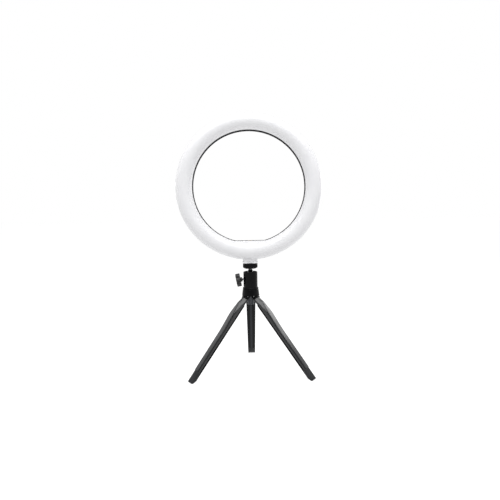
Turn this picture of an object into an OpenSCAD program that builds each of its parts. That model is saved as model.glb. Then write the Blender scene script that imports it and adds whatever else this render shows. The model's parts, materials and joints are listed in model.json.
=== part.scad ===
// Tabletop ring light: a round LED lamp on a ball head and a folding mini tripod.
// Millimetres, +Z up. The origin is on the floor, under the middle of the tripod.
// The lamp faces -Y. It is drawn standing, with its three legs open.

/* [Lamp] */
// Outer diameter of the lamp
lamp_d = 260; // [250:1:270]
// Diameter of the opening in the lamp
opening_d = 200; // [196:1:204]
// Height of the lamp's middle above the floor
lamp_z = 327; // [327:1:328]
// Depth of the rear housing, from the seam to its back
housing_depth = 16; // [15.5:0.5:17]
// Height of the flat seat for a phone holder, below the lamp's middle
seat_drop = 96.5; // [95.5:0.5:97]
// Number of LEDs in each of the two rows
leds_per_row = 48; // [24:4:60]
// Number of screws that hold the housing to the diffuser
housing_screw_count = 6; // [6:6:12]
// Number of screws that hold the LED board
board_screw_count = 8; // [4:4:12]

/* [Ball head] */
// Diameter of the ball housing
ball_housing_d = 25; // [24.5:0.5:26]
// Height of the ball housing's top above the floor
ball_housing_top = 176; // [175:0.5:176.5]
// Height of the ball's middle above the floor
ball_z = 165; // [164.5:0.5:165.5]
// Diameter of the ball
ball_d = 16; // [15:0.5:16]
// Diameter of the stem that stands on the ball
stem_d = 8.4; // [7:0.2:8.4]
// Diameter of the platform under the lamp
platform_d = 26; // [22:1:28]
// How far the clamp knob's axis points down
knob_tilt = 11; // [8:1:12]
// Diameter of the clamp knob
knob_d = 23; // [20:1:24]
// Number of lobes on the clamp knob
knob_lobes = 8; // [6:1:10]

/* [Tripod] */
// Diameter of the collar at its lower edge
collar_d = 31; // [31:0.5:33]
// Height of the legs' hinge pins above the floor
hinge_z = 134; // [130:0.5:134]
// Distance from the tripod's middle to each hinge pin
hinge_r = 10; // [10:0.1:10.2]
// How far a leg swings out from the vertical
leg_open = 39.5; // [36:0.5:39.5]
// Diameter of the three folded legs at the top
handle_d = 27; // [26.6:0.2:27]
// Width of a leg at its top
leg_w_top = 16.5; // [15.6:0.1:16.6]
// Width of a leg at its foot
leg_w_foot = 13.7; // [12:0.1:14]

/* [Hidden] */

$fn = 96;
gap = 0.05;         // fit between parts that stay together
swing_gap = 0.3;    // room between parts that move past each other
through = 1;        // extra length of a cut that passes right through

// Lamp, drawn about its own axis: +Z is the lit side, and +Y is up
lamp_r = lamp_d / 2;
opening_r = opening_d / 2;
band_r = (lamp_r - opening_r) / 2;
band_mid = (lamp_r + opening_r) / 2;
seam_z = 2;
back_z = seam_z - housing_depth;
shell_t = 2;
diffuser_t = 1.6;
lip_t = 1.5;
lip_depth = 3;
lip_root = 4.5;
back_corner = 4;
rim_corner = 1.2;
floor_z = back_z + shell_t;
board_t = 1.6;
board_z = back_z + 7.4;
board_in_r = opening_r + 4;
board_out_r = lamp_r - 9.2;
board_mid = (board_in_r + board_out_r) / 2;
led_size = [2.8, 3.5, 0.8];
led_rows = [board_mid - 4.4, board_mid + 4.4];
board_boss_r = 2.2;
board_screw_r = 0.9;
fixing_r = lamp_r - 6.1;
fixing_boss_r = 2.6;
fixing_top = seam_z + 9;
fixing_foot = floor_z + 1.1;
fixing_pad_r = 3.4;
fixing_pad_z = fixing_foot - 0.1;
fixing_head = [2.4, 1.7];
fixing_screw_r = 1.2;
fixing_depth = 6;
seat_half = 40;
seat_front = 5;
insert_r = 4;
insert_len = 8;
insert_thread_r = 3.2;
insert_z = back_z + 6.5;
insert_block = [12.4, 9.1, 11];
socket_angle = 258;
socket_size = [3.3, 9, 7.3];
socket_wall = 0.35;
socket_tongue_size = [0.8, 6.4, 5.2];

// Neck under the lamp
neck_foot = 191;
neck_size = [26.6, 22];
neck_step = 0.8;
neck_lip_h = 3.2;
neck_corner = 4;
neck_top = 203;
tongue_size = [18, 14, 3.8];
tongue_z = board_z - 1;
tongue_screw_x = 5;
tongue_screw_y = -(lamp_r - 7.5);
neck_screw_r = 1.3;
neck_screw_head = [2.6, 1.5];
neck_insert_r = 4.6;
stud_r = 3.1;
stud_play = 0.075;
stud_up = 5.5;

// Platform and stem
pad_h = 1;
pad_r = platform_d / 2 - 0.4;
disc_top = neck_foot - pad_h;
disc_foot = disc_top - 8.8;
disc_edge_z = disc_foot + 1.7;
disc_corner = 1.6;
grip_count = 36;
grip_r = 0.45;
stem_top = disc_foot - 1.6;
stem_r = stem_d / 2;
stem_cap = 1.2;
stud_foot = stem_top - 5;

// Ball head
ball_r = ball_d / 2;
ball_play = 0.05;
ball_housing_r = ball_housing_d / 2;
ball_housing_foot = 148;
lip_z = ball_z + 3.2;
lip_r = sqrt(pow(ball_r + ball_play, 2) - pow(lip_z - ball_z, 2));
mouth_r = ball_housing_r - 1.2;
socket_r = ball_r + 1.2;
notch_r = stem_r + swing_gap;
crown_r = 1.5;
plug_h = 5;
seat_foot = ball_housing_foot + plug_h;
seat_top = ball_z - 5;

// Clamp knob, drawn along +Z from the ball's middle
clamp_r = 2;
clamp_play = 0.05;
tip_start = ball_r + 0.1;
tip_len = 3;
knob_start = 17.6;
knob_t = 8;
knob_r = knob_d / 2;
knob_boss = [4, 3];
knob_face_r = 6;
knob_dish = 1.2;
lobe_r = 2.7;
knob_core_r = knob_r - lobe_r - 0.4;
knob_phase = 9;
clamp_end = knob_start + knob_t - 2.5;

// Collar, hub and hinges
collar_r = collar_d / 2;
collar_foot = 133.3;
collar_top_r = 14;
collar_plate = 142;
skirt_r = collar_r - 1.2;
skirt_in_top = collar_top_r - 1.4;
skirt_slope = tan(90 - leg_open);
skirt_in_z = collar_foot + (collar_r - skirt_r) * skirt_slope;
groove = [0.5, 1];
groove_z = 145.6;
core_r = 5.8;
core_foot = 117.4;
flange_r = skirt_in_top - 0.2;
flange_h = 2;
lug_t = 5;
lug_eye_r = 4;
lug_neck = 6;
window = [2.7, 8, 1.2];
window_foot = 118.3;
head_screw_r = 2.5;
head_screw_cap = [4.25, 4];
head_screw_clear = 0.1;
head_screw_top = ball_housing_foot + plug_h - 0.5;
pin_r = 1.5;
pin_play = 0.05;
pin_len = 14.4;

// Legs, drawn folded down along -Z with the outer face towards +X
leg_azimuths = [90, 210, 330];
handle_r = handle_d / 2;
leg_taper_r = 1.3;
knuckle_r = 4.5;
fork_slot = lug_t + 0.5;
fork_w = 15;
leg_apex = 1.5;
leg_apex_half = 2;
leg_neck_z = core_foot - 0.5;
leg_neck_r = core_r + swing_gap;
leg_neck_slope = 4;
bevel_rise = 15.2;
bevel_in = 5.65;
toe_r = 2.5;
toe_flat = 0.25;
toe_slope = atan2(bevel_rise, -bevel_in);
toe_mid = leg_apex + bevel_in + toe_r * tan((180 - toe_slope) / 2) - hinge_r;
leg_len = toe_r + (hinge_z + toe_mid * sin(leg_open) - toe_r + toe_flat) / cos(leg_open);
cover_t = 2.2;
cover_start = 6;
foot_h = 22;
tenon = [5, 6, 9];
channel = [4, 7];
channel_ends = 26;

// Points of an arc about a centre
function arc(centre, r, from, to, steps = 8) =
    [for (i = [0 : steps]) let (a = from + (to - from) * i / steps)
        [centre[0] + r * cos(a), centre[1] + r * sin(a)]];

// ---------------------------------------------------------------- lamp

// Puts what is drawn about the lamp's own axis in its place
module at_lamp() {
    translate([0, 0, lamp_z]) rotate([90, 0, 0]) children();
}

// Repeats a shape on a circle about the lamp's axis
module ring_of(count, radius, start = 0) {
    for (i = [0 : count - 1])
        rotate([0, 0, start + i * 360 / count]) translate([radius, 0, 0]) children();
}

// Radial outline of the rear housing, swollen by grow
module housing_outline(grow = 0) {
    polygon(concat(
        [[opening_r - grow, seam_z]],
        arc([opening_r + rim_corner, back_z + rim_corner], rim_corner + grow, 180, 270),
        arc([lamp_r - back_corner, back_z + back_corner], back_corner + grow, 270, 360),
        [[lamp_r + grow, seam_z]]
    ));
}

// Whole outside of the lamp's band, swollen by grow
module lamp_envelope(grow = 0) {
    rotate_extrude($fn = 180) housing_outline(grow);
    rotate_extrude($fn = 180) translate([band_mid, seam_z]) intersection() {
        circle(band_r + grow);
        translate([-band_r * 2, 0]) square([band_r * 4, band_r * 2]);
    }
}

// Segment of the opening that the phone holder's seat fills
module seat_segment(z0, z1, radius) {
    translate([0, 0, z0]) linear_extrude(z1 - z0) intersection() {
        circle(radius, $fn = 180);
        translate([-seat_half, -radius - 1]) square([seat_half * 2, radius + 1 - seat_drop]);
    }
}

module diffuser() {
    color("ghostwhite") at_lamp() difference() {
        union() {
            rotate_extrude($fn = 180) translate([band_mid, seam_z]) intersection() {
                difference() {
                    circle(band_r);
                    circle(band_r - diffuser_t);
                }
                translate([-band_r * 2, 0]) square([band_r * 4, band_r * 2]);
            }
            rotate_extrude($fn = 180) for (r = [opening_r + shell_t + 0.1,
                                               lamp_r - shell_t - 0.1 - lip_t])
                translate([r, seam_z - lip_depth]) square([lip_t, lip_depth + lip_root]);
            ring_of(housing_screw_count, fixing_r)
                translate([0, 0, fixing_foot]) cylinder(h = fixing_top - fixing_foot, r = fixing_boss_r);
            seat_segment(seam_z, seat_front, opening_r + diffuser_t);
        }
        ring_of(housing_screw_count, fixing_r)
            translate([0, 0, fixing_foot - through])
                cylinder(h = fixing_depth + through + 2, r = fixing_screw_r + gap);
    }
}

module rear_housing() {
    color("dimgray") at_lamp() difference() {
        union() {
            difference() {
                union() {
                    rotate_extrude($fn = 180) housing_outline();
                    seat_segment(back_z, seam_z, opening_r + shell_t);
                }
                rotate_extrude($fn = 180) translate([opening_r + shell_t, floor_z])
                    square([band_r * 2 - shell_t * 2, housing_depth]);
            }
            ring_of(board_screw_count, board_mid, 360 / board_screw_count / 2)
                translate([0, 0, floor_z - gap])
                    cylinder(h = board_z - floor_z + gap, r = board_boss_r);
            ring_of(housing_screw_count, fixing_r)
                translate([0, 0, back_z + 0.5])
                    cylinder(h = fixing_pad_z - back_z - 0.5, r = fixing_pad_r);
            translate([-insert_block[0] / 2, -seat_drop - 0.5 - insert_block[1], floor_z - gap])
                cube(insert_block);
        }
        ring_of(board_screw_count, board_mid, 360 / board_screw_count / 2)
            translate([0, 0, floor_z + 0.4]) cylinder(h = housing_depth, r = board_screw_r + gap);
        ring_of(housing_screw_count, fixing_r) {
            translate([0, 0, back_z - through]) cylinder(h = housing_depth, r = fixing_screw_r + gap);
            translate([0, 0, back_z - through])
                cylinder(h = fixing_head[1] + gap + through, r = fixing_head[0] + 0.2);
        }
        translate([0, -seat_drop + through, insert_z]) rotate([90, 0, 0])
            cylinder(h = insert_len + gap + through, r = insert_r + gap);
        translate([-tongue_size[0] / 2 - 0.2, -lamp_r - through, tongue_z - tongue_size[2] - 0.1])
            cube([tongue_size[0] + 0.4, shell_t + through * 2, tongue_size[2] + 0.2]);
        for (x = [-tongue_screw_x, tongue_screw_x])
            translate([x, tongue_screw_y, back_z - through])
                cylinder(h = shell_t + through * 2, r = neck_screw_r + gap);
        rotate([0, 0, socket_angle])
            translate([board_mid - socket_size[0] / 2 - 0.3, -socket_size[1] / 2 - 0.3, back_z - through])
                cube([socket_size[0] + 0.6, socket_size[1] + 0.6, shell_t + through * 2]);
    }
}

module led_board() {
    color("honeydew") at_lamp() difference() {
        translate([0, 0, board_z]) difference() {
            cylinder(h = board_t, r = board_out_r, $fn = 180);
            translate([0, 0, -through])
                cylinder(h = board_t + through * 2, r = board_in_r, $fn = 180);
        }
        translate([-insert_block[0] / 2 - 0.5, -board_in_r - 4, board_z - through])
            cube([insert_block[0] + 1, 12, board_t + through * 2]);
        ring_of(board_screw_count, board_mid, 360 / board_screw_count / 2)
            translate([0, 0, board_z - through])
                cylinder(h = board_t + through * 2, r = board_screw_r + gap);
    }
}

module leds() {
    color("lightyellow") at_lamp()
        for (row = [0, 1])
            ring_of(leds_per_row, led_rows[row], (90 + 180 * row) / leds_per_row)
                translate([-led_size[0] / 2, -led_size[1] / 2, board_z + board_t])
                    cube(led_size);
}

module board_screws() {
    color("silver") at_lamp()
        ring_of(board_screw_count, board_mid, 360 / board_screw_count / 2) {
            translate([0, 0, board_z + board_t]) cylinder(h = 1.2, r = 2);
            translate([0, 0, floor_z + 1]) cylinder(h = board_z + board_t - floor_z, r = board_screw_r);
        }
}

module housing_screws() {
    color("silver") at_lamp() ring_of(housing_screw_count, fixing_r)
        translate([0, 0, back_z]) difference() {
            union() {
                cylinder(h = fixing_head[1], r = fixing_head[0]);
                cylinder(h = fixing_foot - back_z + fixing_depth, r = fixing_screw_r);
            }
            for (a = [0, 90]) rotate([0, 0, a])
                translate([-1.5, -0.3, -through]) cube([3, 0.6, through + 0.9]);
        }
}

// The socket stands on the back of the LED board and opens at the lamp's back
module power_socket() {
    color("silver") at_lamp() rotate([0, 0, socket_angle])
        translate([board_mid, 0, board_z - socket_size[2]]) difference() {
            translate([-socket_size[0] / 2, -socket_size[1] / 2, 0]) cube(socket_size);
            translate([-socket_size[0] / 2 + socket_wall, -socket_size[1] / 2 + socket_wall, -through])
                cube([socket_size[0] - socket_wall * 2, socket_size[1] - socket_wall * 2,
                      socket_size[2] + through - socket_wall]);
        }
}

module socket_tongue() {
    color("black") at_lamp() rotate([0, 0, socket_angle])
        translate([board_mid - socket_tongue_size[0] / 2, -socket_tongue_size[1] / 2,
                   board_z - socket_wall - socket_tongue_size[2]])
            cube(socket_tongue_size);
}

// Threaded insert in the seat, for a phone holder
module holder_insert() {
    color("goldenrod") at_lamp() translate([0, -seat_drop, insert_z]) rotate([90, 0, 0])
        difference() {
            cylinder(h = insert_len, r = insert_r);
            translate([0, 0, -through]) cylinder(h = insert_len, r = insert_thread_r);
        }
}

// ---------------------------------------------------------------- neck

// Upright block with rounded corners
module rounded_block(w, d, z0, z1, corner) {
    translate([0, 0, z0]) linear_extrude(z1 - z0) polygon(concat(
        arc([w / 2 - corner, d / 2 - corner], corner, 0, 90),
        arc([-w / 2 + corner, d / 2 - corner], corner, 90, 180),
        arc([-w / 2 + corner, -d / 2 + corner], corner, 180, 270),
        arc([w / 2 - corner, -d / 2 + corner], corner, 270, 360)
    ));
}

module neck_block() {
    color("white") difference() {
        union() {
            rounded_block(neck_size[0], neck_size[1], neck_foot, neck_foot + neck_lip_h, neck_corner);
            difference() {
                rounded_block(neck_size[0] - neck_step * 2, neck_size[1] - neck_step * 2,
                              neck_foot, neck_top, neck_corner - neck_step);
                at_lamp() lamp_envelope(gap);
            }
            at_lamp() translate([-tongue_size[0] / 2, -lamp_r - 1.5, tongue_z - tongue_size[2]])
                cube([tongue_size[0], tongue_size[1], tongue_size[2]]);
        }
        translate([0, 0, neck_foot - through])
            cylinder(h = lamp_z - lamp_r - neck_foot + through - 0.1, r = neck_insert_r + gap);
        at_lamp() for (x = [-tongue_screw_x, tongue_screw_x])
            translate([x, tongue_screw_y, tongue_z - tongue_size[2] - through])
                cylinder(h = tongue_size[2] + through - 0.6, r = neck_screw_r + gap);
    }
}

module neck_insert() {
    color("goldenrod") translate([0, 0, neck_foot]) difference() {
        cylinder(h = lamp_z - lamp_r - neck_foot - 0.15, r = neck_insert_r);
        translate([0, 0, -through])
            cylinder(h = lamp_z - lamp_r - neck_foot - 0.15 + through * 2, r = stud_r + stud_play);
    }
}

module neck_screws() {
    color("silver") at_lamp() for (x = [-tongue_screw_x, tongue_screw_x])
        translate([x, tongue_screw_y, back_z]) difference() {
            union() {
                translate([0, 0, -neck_screw_head[1]])
                    cylinder(h = neck_screw_head[1], r = neck_screw_head[0]);
                translate([0, 0, -gap])
                    cylinder(h = tongue_z - 1 - back_z, r = neck_screw_r);
            }
            for (a = [0, 90]) rotate([0, 0, a])
                translate([-1.6, -0.3, -neck_screw_head[1] - through]) cube([3.2, 0.6, through + 0.8]);
        }
}

// ---------------------------------------------------------------- platform and stem

module platform_pad() {
    color("black") translate([0, 0, disc_top]) difference() {
        cylinder(h = pad_h, r = pad_r);
        translate([0, 0, -through]) cylinder(h = pad_h + through * 2, r = stud_r + gap);
    }
}

// Finger-grip disc that locks the lamp on the stud
module platform_disc() {
    edge_r = platform_d / 2;
    color("black") difference() {
        rotate_extrude() polygon(concat(
            [[stud_r + gap, disc_top], [stud_r + gap, disc_foot], [stem_r + 0.6, disc_foot]],
            [[edge_r - disc_corner - 1.4, disc_edge_z - disc_corner]],
            arc([edge_r - disc_corner, disc_edge_z + disc_corner - 0.6], disc_corner, 300, 360),
            arc([edge_r - 0.5, disc_top - 0.5], 0.5, 0, 90, 3)
        ));
        for (i = [0 : grip_count - 1]) rotate([0, 0, i * 360 / grip_count])
            translate([edge_r + grip_r * 0.4, 0, disc_edge_z + 2.4])
                cylinder(h = disc_top - disc_edge_z - 3.6, r = grip_r, $fn = 16);
    }
}

// 1/4 in stud that the lamp screws on to
module platform_stud() {
    color("silver") translate([0, 0, stud_foot])
        cylinder(h = neck_foot + stud_up - stud_foot, r = stud_r);
}

module stem() {
    color("dimgray") difference() {
        rotate_extrude() polygon([
            [0, ball_z], [stem_r, ball_z], [stem_r, stem_top - stem_cap],
            [stem_r - stem_cap * 0.7, stem_top], [0, stem_top]
        ]);
        translate([0, 0, ball_z]) sphere(ball_r + ball_play);
        translate([0, 0, stud_foot - gap]) cylinder(h = stem_top, r = stud_r + gap);
    }
}

module ball() {
    color("darkgray") translate([0, 0, ball_z]) sphere(ball_r);
}

// ---------------------------------------------------------------- ball head

// Puts what is drawn along +Z from the ball's middle on the clamp's axis
module at_clamp() {
    translate([0, 0, ball_z]) rotate([0, -90 - knob_tilt, 0]) children();
}

// Cup with a mouth for the stem and a notch that lets the lamp lie right back
module ball_housing() {
    color("#202124") difference() {
        rotate_extrude() polygon(concat(
            [[0, ball_housing_foot], [ball_housing_r, ball_housing_foot]],
            arc([ball_housing_r - crown_r, ball_housing_top - crown_r], crown_r, 0, 90, 6),
            [[0, ball_housing_top]]
        ));
        translate([0, 0, ball_housing_foot - through])
            cylinder(h = ball_z - ball_housing_foot + through, r = socket_r);
        translate([0, 0, ball_z]) sphere(ball_r + ball_play);
        rotate_extrude() polygon([
            [0, lip_z], [lip_r, lip_z], [mouth_r, ball_housing_top + 0.01],
            [mouth_r, ball_housing_top + 1], [0, ball_housing_top + 1]
        ]);
        translate([0, 0, ball_z]) rotate([-90, 0, 0]) cylinder(h = ball_housing_r + 1, r = notch_r);
        translate([-notch_r, 0, ball_z]) cube([notch_r * 2, ball_housing_r + 1, ball_housing_top]);
        at_clamp() cylinder(h = ball_housing_r + 3, r = clamp_r + clamp_play);
    }
}

module ball_seat() {
    color("ivory") difference() {
        translate([0, 0, seat_foot + gap]) cylinder(h = seat_top - seat_foot - gap, r = socket_r - gap);
        translate([0, 0, ball_z]) sphere(ball_r + ball_play);
    }
}

module base_plug() {
    color("silver") translate([0, 0, ball_housing_foot]) difference() {
        cylinder(h = plug_h, r = socket_r - gap);
        translate([0, 0, -through]) cylinder(h = plug_h + through * 2, r = head_screw_r + gap);
    }
}

module knob_outline() {
    circle(knob_core_r);
    for (i = [0 : knob_lobes - 1]) rotate(knob_phase + i * 360 / knob_lobes)
        translate([knob_r - lobe_r, 0]) circle(lobe_r);
}

module clamp_knob() {
    color("black") at_clamp() difference() {
        union() {
            translate([0, 0, knob_start]) linear_extrude(knob_t) knob_outline();
            translate([0, 0, knob_start - knob_boss[1]])
                cylinder(h = knob_boss[1] + 1, r = knob_boss[0]);
        }
        translate([0, 0, knob_start + knob_t - knob_dish])
            cylinder(h = knob_dish + through, r = knob_face_r);
        translate([0, 0, knob_start - knob_boss[1] - through])
            cylinder(h = clamp_end - knob_start + knob_boss[1] + through + gap, r = clamp_r + gap);
    }
}

module clamp_stud() {
    color("silver") at_clamp() translate([0, 0, tip_start + tip_len])
        cylinder(h = clamp_end - tip_start - tip_len, r = clamp_r);
}

module clamp_tip() {
    color("ivory") at_clamp() difference() {
        cylinder(h = tip_start + tip_len, r = clamp_r - gap);
        sphere(ball_r + ball_play);
    }
}

// ---------------------------------------------------------------- tripod hub

// Skirt over the hinges. The open legs rest against its sloped lower edge
module collar() {
    top = ball_housing_foot;
    color("#26262a") rotate_extrude() polygon([
        [head_screw_r + gap, top], [head_screw_r + gap, collar_plate],
        [skirt_in_top, collar_plate], [skirt_r, skirt_in_z], [collar_r, collar_foot],
        [collar_r - 0.2, collar_foot + 1.2],
        [collar_top_r + 0.1, groove_z - groove[1]], [collar_top_r - groove[0], groove_z - groove[1]],
        [collar_top_r - groove[0], groove_z], [collar_top_r, groove_z],
        [collar_top_r, top - 0.8], [collar_top_r - 0.8, top]
    ]);
}

// Post with three hinge lugs, and a window between each pair of lugs
module hub_core() {
    color("#4a4b50") difference() {
        union() {
            translate([0, 0, core_foot]) cylinder(h = collar_plate - core_foot, r = core_r);
            translate([0, 0, collar_plate - flange_h]) cylinder(h = flange_h, r = flange_r);
            for (a = leg_azimuths) rotate([0, 0, a]) {
                translate([hinge_r, lug_t / 2, hinge_z]) rotate([90, 0, 0])
                    cylinder(h = lug_t, r = lug_eye_r);
                translate([0, -lug_t / 2, hinge_z - lug_neck / 2])
                    cube([hinge_r, lug_t, collar_plate - hinge_z + lug_neck / 2]);
            }
        }
        for (a = leg_azimuths) rotate([0, 0, a]) {
            translate([hinge_r, lug_t, hinge_z]) rotate([90, 0, 0])
                cylinder(h = lug_t * 2, r = pin_r + 0.01);
            rotate([0, 0, 180]) translate([core_r - window[2], -window[0] / 2, window_foot])
                cube([window[2] * 2, window[0], window[1]]);
        }
        translate([0, 0, core_foot - through])
            cylinder(h = collar_plate - core_foot + through * 2, r = head_screw_r + gap);
        translate([0, 0, core_foot - through])
            cylinder(h = head_screw_cap[1] + 0.2 + through, r = head_screw_cap[0] + head_screw_clear);
    }
}

module hinge_pins() {
    color("silver") for (a = leg_azimuths) rotate([0, 0, a])
        translate([hinge_r, pin_len / 2, hinge_z]) rotate([90, 0, 0])
            cylinder(h = pin_len, r = pin_r);
}

// Cap screw that joins the hub, the collar and the ball head
module head_screw() {
    color("silver") difference() {
        union() {
            translate([0, 0, core_foot + 0.2]) cylinder(h = head_screw_cap[1], r = head_screw_cap[0]);
            translate([0, 0, core_foot + 0.2])
                cylinder(h = head_screw_top - core_foot - 0.2, r = head_screw_r);
        }
        translate([0, 0, core_foot - through]) cylinder(h = through + 2.7, r = 2.3, $fn = 6);
    }
}

// ---------------------------------------------------------------- legs

// Swings a folded leg out and turns it to its side of the hub
module at_leg(azimuth) {
    rotate([0, 0, azimuth]) translate([hinge_r, 0, hinge_z]) rotate([0, -leg_open, 0])
        translate([-hinge_r, 0, -hinge_z]) children();
}

// Everything within dist of the outer face of a folded leg, tapered to the foot
module outer_face(inset = 0) {
    translate([0, 0, hinge_z - leg_len - 1])
        cylinder(h = leg_len + 8, r1 = handle_r - leg_taper_r - inset, r2 = handle_r - inset, $fn = 180);
}

// Side planes of a leg: two meet at the handle's middle, two run down its sides
module leg_sides() {
    side_x = leg_apex + (leg_w_top / 2 - leg_apex_half) / tan(60);
    bottom = hinge_z - leg_len - 1;
    intersection() {
        translate([0, 0, bottom]) linear_extrude(leg_len + 8) polygon([
            [leg_apex, -leg_apex_half], [side_x, -leg_w_top / 2], [handle_r + 2, -leg_w_top / 2],
            [handle_r + 2, leg_w_top / 2], [side_x, leg_w_top / 2], [leg_apex, leg_apex_half]
        ]);
        rotate([90, 0, 90]) linear_extrude(handle_r + 2) polygon([
            [-leg_w_foot / 2, bottom], [leg_w_foot / 2, bottom],
            [leg_w_top / 2, leg_neck_z], [fork_w / 2, hinge_z + 8],
            [-fork_w / 2, hinge_z + 8], [-leg_w_top / 2, leg_neck_z]
        ]);
    }
}

// Side view of a leg, with the bevelled toe and the step that clears the hub
module leg_profile() {
    end_z = hinge_z - leg_len;
    heel = [leg_apex, end_z + bevel_rise];
    union() {
        polygon(concat(
            [[leg_neck_r, hinge_z], [leg_neck_r, leg_neck_z], [leg_apex, leg_neck_z - leg_neck_slope],
             heel],
            arc([hinge_r + toe_mid, end_z + toe_r], toe_r, toe_slope + 90, 270, 5),
            arc([handle_r - leg_taper_r - 1.6, end_z + 1.6], 1.6, 270, 360, 5),
            [[handle_r + 1, end_z + 1.6], [handle_r + 1, hinge_z]]
        ));
        translate([hinge_r, hinge_z]) circle(knuckle_r);
    }
}

// Solid outside of a whole leg, folded
module leg_envelope() {
    intersection() {
        outer_face();
        leg_sides();
        translate([0, handle_r, 0]) rotate([90, 0, 0]) linear_extrude(handle_d) leg_profile();
    }
}

// Slab across a folded leg, between two distances below the hinge
module leg_slab(from, to) {
    translate([-1, -handle_r, hinge_z - to]) cube([handle_d, handle_d, to - from]);
}

// Main moulding of a leg, with its fork, a hollow and a tenon for the foot
module leg(azimuth) {
    color("#2b2d30") at_leg(azimuth) difference() {
        union() {
            difference() {
                intersection() {
                    leg_envelope();
                    leg_slab(-knuckle_r - 1, leg_len - foot_h);
                }
                intersection() {
                    difference() {
                        outer_face(-2);
                        outer_face(cover_t);
                    }
                    leg_slab(cover_start, leg_len);
                }
            }
            translate([handle_r - cover_t - 1.8 - tenon[0], -tenon[1] / 2, hinge_z - leg_len + foot_h - tenon[2]])
                cube([tenon[0], tenon[1], tenon[2] + 1]);
        }
        translate([-1, -fork_slot / 2, hinge_z - lug_eye_r - swing_gap])
            cube([handle_d, fork_slot, leg_len]);
        translate([hinge_r, handle_r, hinge_z]) rotate([90, 0, 0])
            cylinder(h = handle_d, r = pin_r + pin_play);
        translate([handle_r - cover_t - channel[1], -channel[0] / 2, hinge_z - leg_len + foot_h + 4])
            cube([channel[1] + 1, channel[0], leg_len - foot_h - 4 - channel_ends]);
    }
}

// Outer cover of a leg
module leg_cover(azimuth) {
    color("#3a3d40") at_leg(azimuth) intersection() {
        leg_envelope();
        difference() {
            outer_face(-1);
            outer_face(cover_t - gap);
        }
        leg_slab(cover_start + gap, leg_len - foot_h);
    }
}

// Rubber foot, trimmed flat where it stands on the floor
module foot(azimuth) {
    color("#34363a") difference() {
        at_leg(azimuth) difference() {
            intersection() {
                leg_envelope();
                leg_slab(leg_len - foot_h + gap, leg_len + 1);
            }
            translate([handle_r - cover_t - 1.8 - tenon[0] - gap, -tenon[1] / 2 - gap,
                       hinge_z - leg_len + foot_h - tenon[2] - gap])
                cube([tenon[0] + gap * 2, tenon[1] + gap * 2, tenon[2] + 2]);
        }
        translate([-handle_d * 6, -handle_d * 6, -10]) cube([handle_d * 12, handle_d * 12, 10]);
    }
}

// ---------------------------------------------------------------- nodes

diffuser();
rear_housing();
led_board();
leds();
board_screws();
housing_screws();
power_socket();
socket_tongue();
holder_insert();
neck_block();
neck_insert();
neck_screws();
platform_pad();
platform_disc();
platform_stud();
stem();
ball();
ball_housing();
ball_seat();
base_plug();
clamp_knob();
clamp_stud();
clamp_tip();
collar();
hub_core();
hinge_pins();
head_screw();
leg(leg_azimuths[0]);  // leg_back
leg(leg_azimuths[1]);  // leg_left
leg(leg_azimuths[2]);  // leg_right
leg_cover(leg_azimuths[0]);  // leg_cover_back
leg_cover(leg_azimuths[1]);  // leg_cover_left
leg_cover(leg_azimuths[2]);  // leg_cover_right
foot(leg_azimuths[0]);  // foot_back
foot(leg_azimuths[1]);  // foot_left
foot(leg_azimuths[2]);  // foot_right
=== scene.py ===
"""Looks for the ring light: camera, light, materials, and pieces finer than their CAD nodes.

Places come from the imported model, in metres. The finer pieces are drawn in millimetres.
"""

import json
import math

import bmesh
import bpy
from mathutils import Matrix, Vector


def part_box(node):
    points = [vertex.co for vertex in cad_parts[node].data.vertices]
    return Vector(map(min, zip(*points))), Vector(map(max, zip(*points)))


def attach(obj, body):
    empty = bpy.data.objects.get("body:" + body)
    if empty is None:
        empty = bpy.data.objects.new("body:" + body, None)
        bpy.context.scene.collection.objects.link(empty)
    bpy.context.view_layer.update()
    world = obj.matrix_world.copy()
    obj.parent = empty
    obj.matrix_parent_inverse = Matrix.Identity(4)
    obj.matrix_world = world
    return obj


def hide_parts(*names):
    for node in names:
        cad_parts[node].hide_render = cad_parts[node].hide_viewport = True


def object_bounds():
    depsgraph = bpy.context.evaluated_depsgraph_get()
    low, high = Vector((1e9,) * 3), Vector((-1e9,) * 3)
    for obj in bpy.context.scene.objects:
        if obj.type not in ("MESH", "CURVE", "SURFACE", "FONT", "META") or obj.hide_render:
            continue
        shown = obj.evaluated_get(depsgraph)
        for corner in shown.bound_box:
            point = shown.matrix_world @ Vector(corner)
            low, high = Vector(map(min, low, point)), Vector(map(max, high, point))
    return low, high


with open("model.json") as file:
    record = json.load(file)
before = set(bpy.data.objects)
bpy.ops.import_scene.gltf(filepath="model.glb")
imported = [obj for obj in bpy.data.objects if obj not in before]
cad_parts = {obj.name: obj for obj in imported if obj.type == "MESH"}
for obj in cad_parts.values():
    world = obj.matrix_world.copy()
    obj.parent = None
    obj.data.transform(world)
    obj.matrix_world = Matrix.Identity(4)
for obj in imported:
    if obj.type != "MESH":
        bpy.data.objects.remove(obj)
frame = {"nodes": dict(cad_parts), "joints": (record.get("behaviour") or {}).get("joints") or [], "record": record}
cad_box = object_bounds()
NODES = frame["nodes"]
JOINTS = {joint["name"]: joint for joint in frame["joints"]}
SIDES = ("back", "left", "right")
MM = 0.001

# ---------------------------------------------------------------- places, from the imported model


def middle(node):
    low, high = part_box(node)
    return (low + high) / 2


LAMP = middle("rear_housing")
BALL = middle("ball")

# ---------------------------------------------------------------- camera

# fitted to the lamp's rim, the feet and the edges of the legs
SENSOR, LENS = 36, 35.66  # millimetres
CLIP_START = 0.01
SHIFT = (-0.024, -0.0664)
EYE = (-0.0001, -0.88, 0.2724)
PITCH, YAW, ROLL = 0.0, 1.46, 0.96  # degrees

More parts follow.
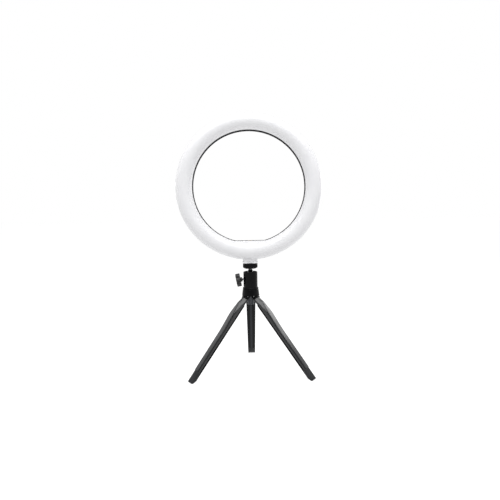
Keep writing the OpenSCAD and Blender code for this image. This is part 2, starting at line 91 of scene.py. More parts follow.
camera_data = bpy.data.cameras.new("camera")
camera_data.sensor_width = SENSOR
camera_data.lens = LENS
camera_data.shift_x, camera_data.shift_y = SHIFT
camera_data.clip_start = CLIP_START
camera = bpy.data.objects.new("camera", camera_data)
bpy.context.scene.collection.objects.link(camera)
bpy.context.scene.camera = camera
camera.matrix_world = (
    Matrix.Translation(EYE)
    @ Matrix.Rotation(math.radians(-YAW), 4, "Z")
    @ Matrix.Rotation(math.radians(90 - PITCH), 4, "X")
    @ Matrix.Rotation(math.radians(-ROLL), 4, "Z")
)

# ---------------------------------------------------------------- floor and light

FLOOR_HALF = 30.0
FLOOR_GAP = 0.0002  # between the floor and the feet
FLOOR_ALBEDO, FLOOR_MOTTLE, FLOOR_MOTTLE_SIZE = 0.25, 0.01, 0.2
FLOOR_ROUGHNESS = 0.9
FLOOR_GLOW = 0.9  # the pale sheet is lit from below too
FRONT_SHADE = 0.32  # the room behind the camera, against the white backdrop
ZENITH = 0.35  # the ceiling round the softbox, against the same backdrop

# one large softbox overhead; brightness is in times as bright as white
SOFTBOX_SIZE, SOFTBOX_BRIGHTNESS = (2.2, 1.5), 4.7
SOFTBOX_PLACE, SOFTBOX_AIM = (0, -0.55, 1.55), (0, -0.55, 0)
# a small light on each side behind, which draws the pale band along that leg
RIM_SIZE, RIM_AIM = (0.2, 0.2), (0, 0, 0.12)
RIM_Y, RIM_Z = 0.3, 0.34
RIMS = {"rim_left": (-0.36, 0.8), "rim_right": (0.36, 3.4)}  # name: (x, brightness)


def new_mesh(name, points, faces):
    mesh = bpy.data.meshes.new(name)
    mesh.from_pydata([tuple(p) for p in points], [], faces)
    mesh.validate()
    mesh.update()
    piece = bpy.data.objects.new(name, mesh)
    bpy.context.scene.collection.objects.link(piece)
    return piece


floor = new_mesh(
    "floor",
    [(x * FLOOR_HALF, y * FLOOR_HALF, 0) for x, y in ((-1, -1), (1, -1), (1, 1), (-1, 1))],
    [(0, 1, 2, 3)],
)
floor.location.z = cad_box[0][2] - FLOOR_GAP


def area_light(name, place, target, size, brightness):
    """Rectangular light, unseen by the camera, that looks that many times as bright as white."""
    data = bpy.data.lights.new(name, "AREA")
    data.shape = "RECTANGLE"
    data.size, data.size_y = size
    data.energy = brightness * math.pi * size[0] * size[1]
    light = bpy.data.objects.new(name, data)
    bpy.context.scene.collection.objects.link(light)
    light.location = place
    light.visible_camera = False
    aim = Vector(target) - Vector(place)
    light.rotation_euler = aim.to_track_quat("-Z", "Y").to_euler()


area_light("softbox", SOFTBOX_PLACE, SOFTBOX_AIM, SOFTBOX_SIZE, SOFTBOX_BRIGHTNESS)
for name, (x, brightness) in RIMS.items():
    area_light(name, (x, RIM_Y, RIM_Z), RIM_AIM, RIM_SIZE, brightness)


def studio_world():
    """White backdrop, darker towards the room behind the camera and towards the ceiling.
    The camera itself sees it white everywhere.
    """
    # axis of the direction, where the fade starts and ends along it, brightness at both
    fades = (("Y", -1.0, -0.1, FRONT_SHADE, 1.0), ("Z", 0.25, 0.65, 1.0, ZENITH))
    world = bpy.data.worlds.new("studio")
    bpy.context.scene.world = world
    world.use_nodes = True
    tree = world.node_tree
    direction = tree.nodes.new("ShaderNodeTexCoord")
    parts = tree.nodes.new("ShaderNodeSeparateXYZ")
    tree.links.new(direction.outputs["Generated"], parts.inputs["Vector"])
    backdrop = tree.nodes["Background"]
    backdrop.inputs["Color"].default_value = (1, 1, 1, 1)
    product = tree.nodes.new("ShaderNodeMath")
    product.operation = "MULTIPLY"
    for place, (axis, *span) in enumerate(fades):
        shade = tree.nodes.new("ShaderNodeMapRange")
        shade.interpolation_type = "SMOOTHSTEP"
        for key, value in zip(("From Min", "From Max", "To Min", "To Max"), span):
            shade.inputs[key].default_value = value
        tree.links.new(parts.outputs[axis], shade.inputs["Value"])
        tree.links.new(shade.outputs["Result"], product.inputs[place])
    seen = tree.nodes.new("ShaderNodeLightPath")
    brightest = tree.nodes.new("ShaderNodeMath")
    brightest.operation = "MAXIMUM"
    tree.links.new(product.outputs["Value"], brightest.inputs[0])
    tree.links.new(seen.outputs["Is Camera Ray"], brightest.inputs[1])
    tree.links.new(brightest.outputs["Value"], backdrop.inputs["Strength"])


studio_world()
bpy.context.scene.view_settings.view_transform = "Standard"

# ---------------------------------------------------------------- materials

NOISE_ROUGHNESS = 0.55
NOISE_LOW, NOISE_HIGH = 0.3, 0.7  # the span that most of the noise lies in
COLOUR_DETAIL, GLOSS_DETAIL, GRAIN_DETAIL, MARK_DETAIL = 5, 6, 3, 4
MOTTLE_SIZE, GLOSS_SIZE = 0.012, 0.006
# the unevenness under the grain: how many times as wide and as high as the grain
UNEVEN_WIDTH, UNEVEN_HEIGHT, UNEVEN_DETAIL = 14, 3, 2
METAL_MOTTLE_SIZE, METAL_GLOSS_SIZE = 0.003, 0.002
MARK_SIZE, MARK_HEIGHT = 0.0006, 0.00001
COLOUR_ONE, COLOUR_TWO, COLOUR_OUT = 6, 7, 2  # sockets of a Mix node


class Surface:
    """A Principled material whose colour, roughness and relief come from noise.
    The noise lies in the object's own metres.
    """

    def __init__(self, name, **fixed):
        self.material = bpy.data.materials.new(name)
        self.material.use_nodes = True
        self.tree = self.material.node_tree
        self.shader = self.tree.nodes["Principled BSDF"]
        self.where = self.add("ShaderNodeTexCoord").outputs["Object"]
        for key, value in fixed.items():
            self.shader.inputs[key.replace("_", " ")].default_value = value

    def add(self, kind, **settings):
        node = self.tree.nodes.new(kind)
        for key, value in settings.items():
            setattr(node, key, value)
        return node

    def link(self, source, target):
        self.tree.links.new(source, target)

    def noise(self, size, detail):
        """Noise with features of that size in metres."""
        mapping = self.add("ShaderNodeMapping")
        mapping.inputs["Scale"].default_value = (1 / size,) * 3
        node = self.add("ShaderNodeTexNoise")
        node.inputs["Scale"].default_value = 1
        node.inputs["Detail"].default_value = detail
        node.inputs["Roughness"].default_value = NOISE_ROUGHNESS
        self.link(self.where, mapping.inputs["Vector"])
        self.link(mapping.outputs["Vector"], node.inputs["Vector"])
        return node.outputs["Fac"]

    def ramp(self, value, low, high, start=NOISE_LOW, end=NOISE_HIGH):
        """From low where the value is start to high where it is end."""
        node = self.add("ShaderNodeMapRange")
        node.inputs["From Min"].default_value = start
        node.inputs["From Max"].default_value = end
        node.inputs["To Min"].default_value = low
        node.inputs["To Max"].default_value = high
        self.link(value, node.inputs["Value"])
        return node.outputs["Result"]

    def blend(self, share, one, two):
        """Colour one where the share is 0 and colour two where it is 1."""
        node = self.add("ShaderNodeMix", data_type="RGBA")
        self.link(share, node.inputs["Factor"])
        for socket, value in ((COLOUR_ONE, one), (COLOUR_TWO, two)):
            if isinstance(value, tuple):
                node.inputs[socket].default_value = (*value, 1)
            else:
                self.link(value, node.inputs[socket])
        return node.outputs[COLOUR_OUT]

    def colour(self, dark, light, size=MOTTLE_SIZE):
        share = self.ramp(self.noise(size, COLOUR_DETAIL), 0, 1)
        self.link(self.blend(share, dark, light), self.shader.inputs["Base Color"])

    def roughness(self, low, high, size=GLOSS_SIZE):
        gloss = self.ramp(self.noise(size, GLOSS_DETAIL), low, high)
        self.link(gloss, self.shader.inputs["Roughness"])

    def relief(self, *layers):
        """Bump from layers of (value, height in metres)."""
        normal = None
        for value, height in layers:
            bump = self.add("ShaderNodeBump")
            bump.inputs["Distance"].default_value = height
            self.link(value, bump.inputs["Height"])
            if normal is not None:
                self.link(normal, bump.inputs["Normal"])
            normal = bump.outputs["Normal"]
        self.link(normal, self.shader.inputs["Normal"])

    def tint(self, share, colour):
        """Lays that colour over the base colour where the share is 1."""
        base = self.shader.inputs["Base Color"]
        self.link(self.blend(share, base.links[0].from_socket, colour), base)


def moulded(name, dark, light, rough, grain, height, level):
    """Moulded or painted surface: slight mottling, uneven gloss and a fine grain."""
    surface = Surface(name, Specular_IOR_Level=level)
    surface.colour(dark, light)
    surface.roughness(*rough)
    surface.relief(
        (surface.noise(grain * UNEVEN_WIDTH, UNEVEN_DETAIL), height * UNEVEN_HEIGHT),
        (surface.noise(grain, GRAIN_DETAIL), height),
    )
    return surface


def metal(name, dark, light, rough):
    """Bare or plated metal with fine tool marks."""
    surface = Surface(name, Metallic=1.0)
    surface.colour(dark, light, METAL_MOTTLE_SIZE)
    surface.roughness(*rough, METAL_GLOSS_SIZE)
    surface.relief((surface.noise(MARK_SIZE, MARK_DETAIL), MARK_HEIGHT))
    return surface


# slot: (darkest colour, lightest colour, roughness,
#        grain size, grain height, specular level); lengths in metres
MOULDED = {
    "milky_plastic": (
        (0.625, 0.625, 0.64), (0.645, 0.645, 0.655), (0.32, 0.4),
        0.0005, 4e-6, 0.4,
    ),
    "charcoal_plastic": (
        (0.014, 0.014, 0.015), (0.02, 0.02, 0.022), (0.5, 0.62),
        0.0004, 3e-5, 0.06,
    ),
    "board": (
        (0.78, 0.8, 0.76), (0.84, 0.86, 0.82), (0.3, 0.4),
        0.0008, 8e-6, 0.5,
    ),
    "led_phosphor": (
        (0.86, 0.68, 0.16), (0.93, 0.78, 0.25), (0.35, 0.45),
        0.0002, 8e-6, 0.5,
    ),
    "white_plastic": (
        (0.6, 0.6, 0.62), (0.63, 0.63, 0.645), (0.34, 0.44),
        0.0005, 6e-6, 0.4,
    ),
    "rubber": (
        (0.012, 0.0125, 0.0135), (0.024, 0.025, 0.027), (0.62, 0.75),
        0.0006, 6e-5, 0.2,
    ),
    "black_plastic": (
        (0.0015, 0.0015, 0.002), (0.003, 0.003, 0.0038), (0.28, 0.4),
        0.0004, 1.2e-5, 0.09,
    ),
    "black_metal": (
        (0.0015, 0.0015, 0.002), (0.003, 0.003, 0.0036), (0.2, 0.3),
        0.0003, 6e-6, 0.1,
    ),
    "nylon": (
        (0.62, 0.6, 0.53), (0.7, 0.68, 0.6), (0.42, 0.55),
        0.0007, 1e-5, 0.5,
    ),
    "gloss_black": (
        (0.003, 0.003, 0.0035), (0.006, 0.006, 0.0068), (0.08, 0.14),
        0.0006, 3e-6, 0.5,
    ),
    "hub_plastic": (
        (0.06, 0.063, 0.072), (0.08, 0.084, 0.095), (0.34, 0.46),
        0.0004, 1.4e-5, 0.4,
    ),
    "leg_plastic": (
        (0.0015, 0.0016, 0.002), (0.0035, 0.0038, 0.0045), (0.3, 0.42),
        0.0005, 2e-5, 0.04,
    ),
    "cover_plastic": (
        (0.005, 0.0055, 0.0065), (0.009, 0.0095, 0.011), (0.2, 0.28),
        0.0005, 1.2e-5, 0.48,
    ),
}
# slot: (darkest colour, lightest colour, roughness)
METAL = {
    "steel": ((0.48, 0.48, 0.5), (0.62, 0.62, 0.63), (0.22, 0.36)),
    "brass": ((0.6, 0.42, 0.17), (0.74, 0.55, 0.27), (0.25, 0.4)),
    "chrome": ((0.58, 0.58, 0.6), (0.66, 0.66, 0.68), (0.07, 0.14)),
}

SURFACES = {slot: moulded(slot, *look) for slot, look in MOULDED.items()}
SURFACES.update({slot: metal(slot, *look) for slot, look in METAL.items()})

OPENING_R = 0.1
WALL_MARGIN, SEAT_MARGIN = 0.0006, 0.0004  # how far outside the opening the matt wall and the seat's painted light reach
MARGIN_BLUR = 0.0001
# painted light: a paler colour that brightens the seat's shaded front face
SEAT_PAINTED_LIGHT_TONE = (0.78, 0.78, 0.79)
STRIPE_HALF, STRIPE_FADE_END = 0.0015, 0.0026  # from the middle of the leg
# painted reflection: the colour of the sheen stripe down each leg's middle
STRIPE_PAINTED_SHEEN_TONE = (0.028, 0.029, 0.032)


def near_opening(surface, radius):
    """1 nearer the lamp's axis than that radius, 0 beyond it."""
    offset = surface.add("ShaderNodeVectorMath", operation="SUBTRACT")
    offset.inputs[1].default_value = LAMP
    flat = surface.add("ShaderNodeVectorMath", operation="MULTIPLY")
    flat.inputs[1].default_value = (1, 0, 1)
    length = surface.add("ShaderNodeVectorMath", operation="LENGTH")
    surface.link(surface.where, offset.inputs[0])
    surface.link(offset.outputs[0], flat.inputs[0])
    surface.link(flat.outputs[0], length.inputs[0])
    return surface.ramp(
        length.outputs["Value"], 1, 0, radius - MARGIN_BLUR, radius + MARGIN_BLUR
    )


def off_middle(surface):
    """Distance from the middle plane of the nearest leg."""
    nearest = None
    for side in SIDES:
        across = surface.add("ShaderNodeVectorMath", operation="DOT_PRODUCT")
        across.inputs[1].default_value = JOINTS[f"leg_{side}_fold"]["axis"]
        surface.link(surface.where, across.inputs[0])
        size = surface.add("ShaderNodeMath", operation="ABSOLUTE")
        surface.link(across.outputs["Value"], size.inputs[0])
        if nearest is None:
            nearest = size.outputs["Value"]
        else:
            least = surface.add("ShaderNodeMath", operation="MINIMUM")
            surface.link(nearest, least.inputs[0])
            surface.link(size.outputs["Value"], least.inputs[1])
            nearest = least.outputs["Value"]
    return nearest


# the housing is matt round its opening
wall = SURFACES["charcoal_plastic"]
rough_in = wall.shader.inputs["Roughness"]
matt = wall.add("ShaderNodeMath", operation="MAXIMUM")
wall.link(rough_in.links[0].from_socket, matt.inputs[0])
wall.link(near_opening(wall, OPENING_R + WALL_MARGIN), matt.inputs[1])
wall.link(matt.outputs["Value"], rough_in)

# painted reflection: a paler stripe of colour down the middle of each leg stands in for the sheen along it
leg = SURFACES["leg_plastic"]
leg.tint(leg.ramp(off_middle(leg), 1, 0, STRIPE_HALF, STRIPE_FADE_END), STRIPE_PAINTED_SHEEN_TONE)

# painted light: the diffuser's colour is made paler inside the opening, on the holder's seat, to lighten the shade
# on its front face
milky = SURFACES["milky_plastic"]
milky.tint(near_opening(milky, OPENING_R + SEAT_MARGIN), SEAT_PAINTED_LIGHT_TONE)


def dress(piece, slot):
    """Puts a slot's material on a piece."""
    if piece.material_slots:
        for place in piece.material_slots:
            place.material = SURFACES[slot].material
    else:
        piece.data.materials.append(SURFACES[slot].material)


floor_surface = Surface("floor", Roughness=FLOOR_ROUGHNESS, Specular_IOR_Level=0.0)
floor_surface.colour(
    (FLOOR_ALBEDO - FLOOR_MOTTLE,) * 3,
    (FLOOR_ALBEDO + FLOOR_MOTTLE,) * 3,
    FLOOR_MOTTLE_SIZE,
)
floor_surface.shader.inputs["Emission Color"].default_value = (1, 1, 1, 1)
floor_surface.shader.inputs["Emission Strength"].default_value = FLOOR_GLOW
floor.data.materials.append(floor_surface.material)

# what the record says each CAD node is made of
slot_of = {part["node"]: part["material_slot"] for part in frame["record"]["subparts"]}
for node, piece in NODES.items():
    dress(piece, slot_of[node])

# ---------------------------------------------------------------- rounded edges on CAD nodes

WELD_DISTANCE = 0.00001
BEVEL_SEGMENTS, BEVEL_ANGLE = 3, 28
# width of the rounding in metres: nodes
ROUNDED = {
    0.0002: ["neck_block", "hub_core", "housing_screws", "neck_screws"],
    0.0005: ["leg_" + side for side in SIDES],
    0.0007: ["collar", "ball_housing"],
    0.0009: ["foot_" + side for side in SIDES],
}


def soften(node, width):
    """Rounds a CAD node's sharp edges with real geometry."""
    piece = NODES[node]
    weld = piece.modifiers.new("weld", "WELD")
    weld.merge_threshold = WELD_DISTANCE
    bevel = piece.modifiers.new("bevel", "BEVEL")
    bevel.width = width
    bevel.segments = BEVEL_SEGMENTS
    bevel.limit_method = "ANGLE"
    bevel.angle_limit = math.radians(BEVEL_ANGLE)
    bevel.miter_outer = "MITER_ARC"
    bevel.use_clamp_overlap = True
    normals = piece.modifiers.new("normals", "WEIGHTED_NORMAL")
    normals.keep_sharp = False


for width, nodes in ROUNDED.items():
    for node in nodes:
        soften(node, width)

# ---------------------------------------------------------------- tools for the finer pieces

MERGE_DISTANCE = 0.000001
CREASE, COVER_CREASE = 32, 26  # edges sharper than this many degrees stay sharp
TIP_R = 0.01  # radius of the small cap that closes a turned piece on its axis


def skin(name, rings, place=None, loop=False, crease=CREASE):
    """Closed mesh through rings of points in millimetres.
    A loop of rings closes on itself; otherwise its ends are capped.
    """
    count, total = len(rings[0]), len(rings)
    faces = []
    for i in range(total if loop else total - 1):
        here, there = i * count, (i + 1) % total * count
        for k in range(count):
            m = (k + 1) % count
            faces.append((here + k, here + m, there + m, there + k))
    if not loop:
        faces.append(tuple(range(count))[::-1])
        faces.append(tuple(range((total - 1) * count, total * count)))
    piece = new_mesh(name, [Vector(p) * MM for ring in rings for p in ring], faces)
    build = bmesh.new()
    build.from_mesh(piece.data)
    bmesh.ops.remove_doubles(build, verts=build.verts, dist=MERGE_DISTANCE)
    bmesh.ops.recalc_face_normals(build, faces=build.faces)
    build.to_mesh(piece.data)
    build.free()
    if place is not None:
        piece.data.transform(place)
    piece.data.shade_smooth()
    piece.data.set_sharp_from_angle(angle=math.radians(crease))
    return piece


def turned(name, profile, turns, radius, place=None, loop=False):
    """Surface of revolution about +Z through (radius, height) points, in that many steps.
    radius(r, z, angle) gives the radius at each step.
    """
    rings = []
    for r, z in profile:
        ring = []
        for k in range(turns):
            angle = 2 * math.pi * k / turns
            here = radius(r, z, angle)
            ring.append((here * math.cos(angle), here * math.sin(angle), z))
        rings.append(ring)
    return skin(name, rings, place, loop)


def stands_for(piece, node, body, slot):
    """The piece rides on the node's body, hides the node and takes its finish."""
    dress(piece, slot)
    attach(piece, body)
    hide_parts(node)


def smooth(value):
    """Eases from 0 at 0 to 1 at 1."""
    value = min(max(value, 0), 1)
    return value * value * (3 - 2 * value)


def wave(count, angle):
    """Eases from 0 to 1 and back that many times round the axis."""
    return 0.5 - 0.5 * math.cos(count * angle)


# ---------------------------------------------------------------- studs with real threads

QUARTER_INCH_PITCH, STUD_THREAD_DEPTH = 1.27, 0.6
CLAMP_PITCH, CLAMP_THREAD_DEPTH = 0.7, 0.4
FLANK, CREST = 1.25, 0.12  # steepness of the flanks, and width of the flat crest
ROD_TURNS, STEPS_PER_PITCH = 40, 8
CHAMFER_LENGTH, CHAMFER_SLOPE = 0.9, 0.8


def thread(pitch, depth):
    """Radius of a vee thread: crests stay at the profile's own radius."""

    def radius(r, z, angle):
        phase = (z / pitch - angle / (2 * math.pi)) % 1
        cut = min(max(abs(2 * phase - 1) * FLANK - CREST, 0), 1) * depth
        return r - cut

    return radius


def threaded_rod(name, r, low, high, pitch, depth, place=None):
    """Threaded rod with a chamfer at each end."""
    steps = int((high - low) / (pitch / STEPS_PER_PITCH))
    heights = [low + (high - low) * i / steps for i in range(steps + 1)]
    cut = thread(pitch, depth)

    def radius(_, z, angle):
        chamfer = max(0, CHAMFER_LENGTH - (z - low), CHAMFER_LENGTH - (high - z))
        return min(cut(r, z, angle), r - chamfer * CHAMFER_SLOPE)

    return turned(name, [(r, z) for z in heights], ROD_TURNS, radius, place)


stud_low, stud_high = (corner.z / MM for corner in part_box("platform_stud"))
stud_r = (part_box("platform_stud")[1].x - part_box("platform_stud")[0].x) / 2 / MM
STUD_THREAD = (QUARTER_INCH_PITCH, STUD_THREAD_DEPTH)
stud = threaded_rod("stud_threaded", stud_r, stud_low, stud_high, *STUD_THREAD)
stands_for(stud, "platform_stud", "stem", "steel")

# the clamp's axis, from the ball's middle
clamp_axis = Vector(JOINTS["clamp_turn"]["axis"])
at_clamp = Matrix.Translation(BALL) @ Matrix.Rotation(
    math.atan2(clamp_axis.x, clamp_axis.z), 4, "Y"
)
CLAMP_STUD = (2.0, 11.1, 23.1)  # radius, start and end along the clamp's axis
clamp_stud = threaded_rod(
    "clamp_stud_threaded", *CLAMP_STUD, CLAMP_PITCH, CLAMP_THREAD_DEPTH, at_clamp
)
stands_for(clamp_stud, "clamp_stud", "clamp", "steel")

# ---------------------------------------------------------------- clamp knob: eight round lobes

LOBES, KNOB_R, LOBE_R, KNOB_CORE_R = 8, 11.5, 2.7, 8.3
KNOB_LOW, KNOB_HIGH, KNOB_CORNER = 17.6, 25.6, 1.1
KNOB_PHASE = math.radians(9)
KNOB_PLAIN_R, KNOB_RIM_R = 7.0, 7.2  # round inside the first, lobed from the second on
KNOB_BLEND = 2.2  # how sharply a lobe meets the core
KNOB_TURNS, ROUND_STEPS = 256, 5
# (radius, distance along the clamp's axis): the bore for the stud, then the boss
KNOB_BORE = [(TIP_R, 23.2), (2.05, 23.2), (2.05, 14.6)]
KNOB_BOSS = [(3.5, 14.6), (4.0, 15.1), (4.0, 17.1), (4.5, KNOB_LOW)]
# the dished face and its raised middle
KNOB_DISH = [(6.2, 25.45), (5.9, 25.1), (5.6, 24.5), (4.6, 24.4)]
KNOB_MIDDLE = [(2.6, 24.5), (2.2, 24.9), (TIP_R, 25.0)]


def knob_radius(r, z, angle):
    if r < KNOB_PLAIN_R:
        return r
    pitch = 2 * math.pi / LOBES
    off = (angle - KNOB_PHASE + pitch / 2) % pitch - pitch / 2
    centre = KNOB_R - LOBE_R
    inside = LOBE_R**2 - (centre * math.sin(off)) ** 2
    lobe = centre * math.cos(off) + math.sqrt(inside) if inside > 0 else 0
    both = math.exp(KNOB_BLEND * KNOB_CORE_R) + math.exp(KNOB_BLEND * lobe)
    rim = math.log(both) / KNOB_BLEND
    return min(rim, KNOB_R) - (KNOB_R - r)


def rounded(r, low, high, corner):
    """Profile points up the outside of a disc with round corners."""
    points = []
    for start, z in ((-90, low + corner), (0, high - corner)):
        for i in range(ROUND_STEPS + 1):
            a = math.radians(start + 90 * i / ROUND_STEPS)
            points.append((r - corner + corner * math.cos(a), z + corner * math.sin(a)))
    return points


knob_profile = KNOB_BORE + KNOB_BOSS + [(KNOB_RIM_R, KNOB_LOW)]
knob_profile += rounded(KNOB_R, KNOB_LOW, KNOB_HIGH, KNOB_CORNER)
knob_profile += [(KNOB_RIM_R, KNOB_HIGH)] + KNOB_DISH + KNOB_MIDDLE
knob = turned("knob_lobed", knob_profile, KNOB_TURNS, knob_radius, at_clamp)
stands_for(knob, "clamp_knob", "clamp", "gloss_black")

# ---------------------------------------------------------------- locking disc: grip ribs

disc_low, disc_high = (corner.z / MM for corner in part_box("platform_disc"))
DISC_R, DISC_HOLE_R, RIBS, RIB_DEPTH = 13.0, 3.16, 60, 0.35
RIM_BAND = 0.3  # the ribs are cut in this outermost part only
RIB_START, RIB_STOP, RIB_FADE = 2.4, 1.0, 0.5  # from the underside, from the top, fade
HUB_R, CONE_R, CONE_RISE = 4.8, 10.0, 0.1
DISC_CORNER, CORNER_TOP = 1.6, 2.7
CORNER_DEGREES = range(-60, 1, 10)
BAND_STEP, BAND_COUNT = 0.4, 14
TOP_EDGE = ((0.1, 0.25), (0.4, 0))  # (inwards, down) from the top corner
DISC_TURNS = 480


def disc_radius(r, z, angle):
    if r < DISC_R - RIM_BAND:
        return r
    rise = smooth((z - disc_low - RIB_START) / RIB_FADE)
    fall = smooth((disc_high - RIB_STOP - z) / RIB_FADE)
    return r - RIB_DEPTH * (rise * fall) * wave(RIBS, angle) ** 2


disc_profile = [(DISC_HOLE_R, disc_high), (DISC_HOLE_R, disc_low), (HUB_R, disc_low)]
disc_profile += [(CONE_R, disc_low + CONE_RISE)]
for degrees in CORNER_DEGREES:
    a = math.radians(degrees)
    r = DISC_R - DISC_CORNER + DISC_CORNER * math.cos(a)
    disc_profile += [(r, disc_low + CORNER_TOP + DISC_CORNER * math.sin(a))]
disc_profile += [
    (DISC_R, disc_low + RIB_START + BAND_STEP * (i + 1)) for i in range(BAND_COUNT)
]
disc_profile += [(DISC_R - inwards, disc_high - down) for inwards, down in TOP_EDGE]
disc = turned("disc_ribbed", disc_profile, DISC_TURNS, disc_radius, loop=True)
stands_for(disc, "platform_disc", "lock_disc", "black_plastic")

# ---------------------------------------------------------------- brass insert in the holder's seat

low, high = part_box("holder_insert")
insert_place = Matrix.Translation((0, middle("holder_insert").y, 0))
insert_low, insert_high = low.z / MM, high.z / MM
INSERT_R, INSERT_HOLE_R, INSERT_CHAMFER, INSERT_FLOOR = 4.0, 3.2, 0.3, 1
KNURLS, KNURL_DEPTH, KNURL_BAND = 36, 0.12, 0.1
INSERT_THREAD_DEPTH, THREAD_FADE = 0.5, 0.8
INSERT_TURNS, INSERT_STEPS = 72, 44
vee = thread(QUARTER_INCH_PITCH, 1)  # 1 at a crest, 0 at a root, for radius 1


def insert_radius(r, z, angle):
    if r > INSERT_R - KNURL_BAND:
        return r - KNURL_DEPTH * wave(KNURLS, angle)
    if r == INSERT_HOLE_R:
        above_floor = z - insert_low - INSERT_FLOOR
        edge = min(1, (insert_high - z) / THREAD_FADE, above_floor / THREAD_FADE)
        return r - INSERT_THREAD_DEPTH * max(0, edge) * vee(1, z, angle)
    return r


hole_depth = insert_high - insert_low - INSERT_FLOOR
insert_profile = [(TIP_R, insert_low), (INSERT_R - INSERT_CHAMFER, insert_low)]
insert_profile += [(INSERT_R, insert_low + INSERT_CHAMFER)]
insert_profile += [(INSERT_R, insert_high - INSERT_CHAMFER)]
insert_profile += [(INSERT_R - INSERT_CHAMFER, insert_high)]
insert_profile += [
    (INSERT_HOLE_R, insert_high - hole_depth * i / INSERT_STEPS)
    for i in range(INSERT_STEPS + 1)
]
insert_profile += [(TIP_R, insert_low + INSERT_FLOOR)]
insert = turned("seat_insert", insert_profile, INSERT_TURNS, insert_radius, insert_place)
stands_for(insert, "holder_insert", "lamp", "brass")

# ---------------------------------------------------------------- lip of the rear housing
# It reaches forward past the seam, round the opening and along the holder's seat.

SEAT_DROP = (LAMP - high).z / MM
LIP_FRONT, LIP_REAR, LIP_T, LIP_CORNER = -4.6, -1.9, 0.4, 0.12
LIP_PROUD = 0.06  # so that it doesn't share a face with the diffuser
LIP_ARC_STEPS, LIP_SEAT_STEPS = 240, 24


def opening_outline(grow, y):
    """Loop round the opening and along the seat, grow outside it, at that y."""
    r, drop = OPENING_R / MM + grow, SEAT_DROP + grow
    start = -math.asin(drop / r)
    sweep = math.pi - 2 * start
    angles = [start + sweep * i / LIP_ARC_STEPS for i in range(LIP_ARC_STEPS + 1)]
    arc = [(r * math.cos(angle), y, r * math.sin(angle)) for angle in angles]
    end_x = r * math.cos(start)
    across = [2 * i / LIP_SEAT_STEPS - 1 for i in range(1, LIP_SEAT_STEPS)]
    return arc + [(end_x * share, y, -drop) for share in across]


lip_section = [
    (-LIP_PROUD, LIP_REAR),
    (-LIP_PROUD, LIP_FRONT + LIP_CORNER),
    (LIP_CORNER - LIP_PROUD, LIP_FRONT),
    (LIP_T - LIP_CORNER, LIP_FRONT),
    (LIP_T, LIP_FRONT + LIP_CORNER),
    (LIP_T, LIP_REAR),
]
lip = skin(
    "housing_lip",
    [opening_outline(grow, y) for grow, y in lip_section],
    Matrix.Translation((0, 0, LAMP.z)),
    loop=True,
)
dress(lip, "charcoal_plastic")
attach(lip, "lamp")

# ---------------------------------------------------------------- leg covers
# A rounded outer strip that widens into a shoulder over each side at the hinge.
# s is the distance down the leg from its pivot.

HINGE_R = 10.0
LEG_LEN = 172.33
COVER_LOW, COVER_HIGH, COVER_T = 6.05, LEG_LEN - 22, 2.15
COVER_STEPS, COVER_CROWDING = 48, 1.3  # the steps crowd towards the hinge
NECK_S, NECK_HALF = 17.1, 8.25  # where the leg is widest, and half its width there
NARROWER_UP, NARROWER_DOWN = (0.75, 25.1), (1.4, 156.2)  # by how much, over how far
OUTER_R, OUTER_R_GAIN = 12.2, 1.3  # at the leg's end, and how much more at its top
LEG_TOP_S, LEG_END_S = -7, LEG_LEN + 1
COVER_FLARE = 0.02  # a cover is this much wider than its leg
SHOULDER_FLARE = 0.3
SHOULDER_END, SHOULDER_RUN = 44, 30
HUMP, HUMP_START, HUMP_RISE, HUMP_END, HUMP_FALL = 2.3, 7, 13, 80, 52
SUNK = 0.4  # the strip's middle, inside the leg's own outer radius
CROWN = 0.12  # how much lower the strip's edge is than its middle
STRIP_HALF, STRIP_LOSS = 6.0, 3.8  # along the leg, and how much less at the shoulder
CHAMFER_DEPTH, CHAMFER_GAIN, CHAMFER_BULGE = 1.2, 2.8, 0.35
GROOVE_DEPTH, GROOVE_LOSS = 0.42, 0.75
# across the groove: (out from the strip's edge, down from it); None is the groove's own depth
GROOVE_POINTS = ((0.14, 0.08), (0.2, None), (0.48, None), (0.56, 0.2))
CHAMFER_OUT, CHAMFER_DOWN, CHAMFER_IN = 0.66, 0.25, 0.35
# the side: (in from the widest, down from the chamfer's end), then (in, up from the foot)
SIDE_TOP, SIDE_FOOT = ((0.08, 0.3), (0, 0.7)), ((0, 0.25), (0.15, 0))
SKIRT, SKIRT_GAIN, SKIRT_LEAST, SKIRT_R = 1.4, 2.2, 0.9, 5.4
STRIP_STEPS, CHAMFER_STEPS, INSIDE_STEPS = 5, 6, 6


def half_width(s):
    if s < NECK_S:
        loss, run = NARROWER_UP
        return NECK_HALF - (NECK_S - s) * loss / run
    loss, run = NARROWER_DOWN
    return NECK_HALF - (s - NECK_S) * loss / run


def outer_r(s):
    return OUTER_R + OUTER_R_GAIN * (LEG_END_S - s) / (LEG_END_S - LEG_TOP_S)


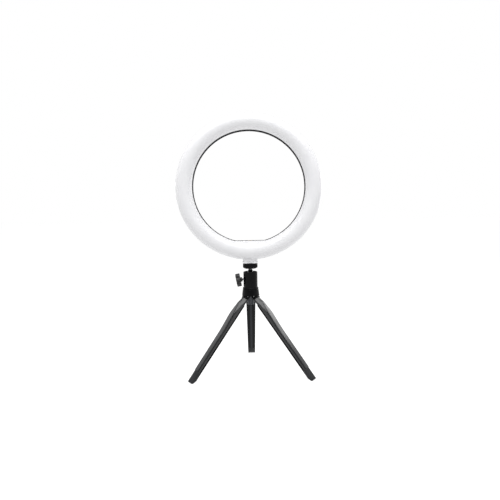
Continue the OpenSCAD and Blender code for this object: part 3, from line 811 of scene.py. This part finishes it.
def cover_section(s):
    """Half of the cover's outline, from the middle of its outside to the middle of its inside.
    The points are (x, y). Along the leg it is a nearly flat strip, a fine groove and a chamfer.
    Near the hinge the strip narrows, the chamfer grows into a shoulder and the whole outside
    rises in a low hump.
    """
    shoulder = smooth((SHOULDER_END - s) / SHOULDER_RUN)
    wide = half_width(s) + COVER_FLARE + SHOULDER_FLARE * shoulder
    rise = smooth((s - HUMP_START) / HUMP_RISE)
    lift = HUMP * rise * smooth((HUMP_END - s) / HUMP_FALL)
    r = outer_r(s)
    top = r - SUNK + lift
    strip = (STRIP_HALF - STRIP_LOSS * shoulder) * half_width(s) / NECK_HALF
    depth = CHAMFER_DEPTH + CHAMFER_GAIN * shoulder
    groove = GROOVE_DEPTH * (1 - GROOVE_LOSS * shoulder)

    # the strip, then the groove's near side and its far side
    points = []
    for i in range(STRIP_STEPS + 1):
        points.append((top - CROWN * (i / STRIP_STEPS) ** 2, strip * i / STRIP_STEPS))
    edge = top - CROWN
    for out, down in GROOVE_POINTS:
        points.append((edge - (groove if down is None else down), strip + out))

    # the chamfer, slightly bulged
    start = (edge - CHAMFER_DOWN, strip + CHAMFER_OUT)
    stop = (edge - depth, wide - CHAMFER_IN)
    for i in range(CHAMFER_STEPS + 1):
        k = i / CHAMFER_STEPS
        bulge = CHAMFER_BULGE * math.sin(math.pi * k)
        x = start[0] + (stop[0] - start[0]) * k + bulge
        points.append((x, start[1] + (stop[1] - start[1]) * k))

    # the side, down to the foot of the skirt
    foot = max(edge - depth - SKIRT - SKIRT_GAIN * shoulder, SKIRT_R)
    foot = min(foot, edge - depth - SKIRT_LEAST)
    points += [(stop[0] - down, wide - inwards) for inwards, down in SIDE_TOP]
    points += [(foot + up, wide - inwards) for inwards, up in SIDE_FOOT]

    # the inside, round about the leg's own middle
    inner_y, inner_r = half_width(s) + COVER_FLARE, r - COVER_T
    points += [(foot, inner_y)]
    for i in range(INSIDE_STEPS + 1):
        y = inner_y * (1 - i / INSIDE_STEPS)
        points.append((math.sqrt(inner_r**2 - y * y), y))
    return points


def at_leg(joint):
    """From a leg drawn folded, its outside along +X, to where it stands open.
    The drawn leg has its pivot HINGE_R out from the axis.
    """
    pivot = Vector(joint["pos_m"])
    return (
        Matrix.Translation((0, 0, pivot.z))
        @ Matrix.Rotation(math.atan2(pivot.y, pivot.x), 4, "Z")
        @ Matrix.Translation((pivot.xy.length, 0, 0))
        @ Matrix.Rotation(math.radians(joint["range_deg"][0]), 4, "Y")
        @ Matrix.Translation((-HINGE_R * MM, 0, 0))
    )


stations = [
    COVER_LOW + (COVER_HIGH - COVER_LOW) * (i / COVER_STEPS) ** COVER_CROWDING
    for i in range(COVER_STEPS + 1)
]
cover_rings = []
for s in stations:
    half = cover_section(s)
    cover_rings.append([(x, y, -s) for x, y in half + [(x, -y) for x, y in half[-2:0:-1]]])
for side in SIDES:
    place = at_leg(JOINTS[f"leg_{side}_fold"])
    cover = skin("cover_" + side, cover_rings, place, crease=COVER_CREASE)
    stands_for(cover, "leg_cover_" + side, "leg_" + side, "cover_plastic")
